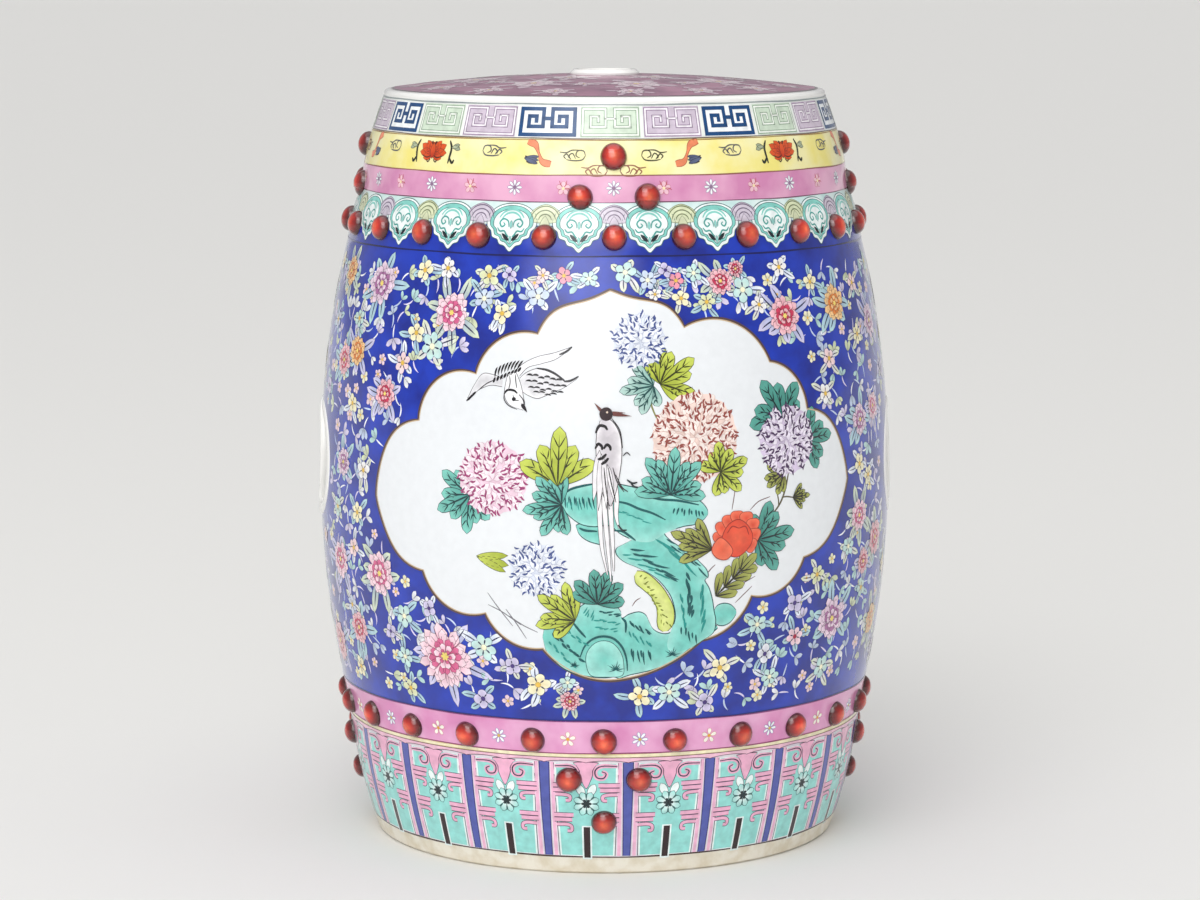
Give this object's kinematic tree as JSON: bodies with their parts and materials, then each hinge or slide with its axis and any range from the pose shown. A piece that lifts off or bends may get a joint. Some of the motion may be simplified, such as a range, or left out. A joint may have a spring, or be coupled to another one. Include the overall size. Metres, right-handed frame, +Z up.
{
  "type": "garden stool",
  "caption": "Barrel-shaped glazed porcelain garden stool with a domed pierced seat, rows of round bosses and pierced coin finger openings.",
  "frame": {"origin": "centre of the foot ring, on the floor", "axes": "+Z up along the barrel's axis, front towards -Y, finger openings towards +X and -X"},
  "size_m": [0.3526, 0.349, 0.466],
  "materials": {
    "base_glaze": "glossy glaze with turquoise and pink enamels, bare cream foot rim",
    "blue_glaze": "glossy blue enamel ground with painted flowers and a white reserve",
    "shoulder_glaze": "glossy glaze with pink, yellow and turquoise enamel borders",
    "seat_glaze": "glossy mauve enamel with a white edge",
    "white_glaze": "glossy white glaze",
    "red_glaze": "glossy iron red enamel"
  },
  "bodies": {
    "root": {"base_wall": "base_glaze", "belly_wall": "blue_glaze", "shoulder_wall": "shoulder_glaze", "seat_slab": "seat_glaze", "seat_coin": "white_glaze", "left_coin": "white_glaze", "right_coin": "white_glaze", "upper_stud_row": "red_glaze", "upper_stud_pairs": "red_glaze", "upper_stud_singles": "red_glaze", "lower_stud_row": "red_glaze", "lower_stud_pairs": "red_glaze", "lower_stud_singles": "red_glaze"}
  },
  "joints": []
}
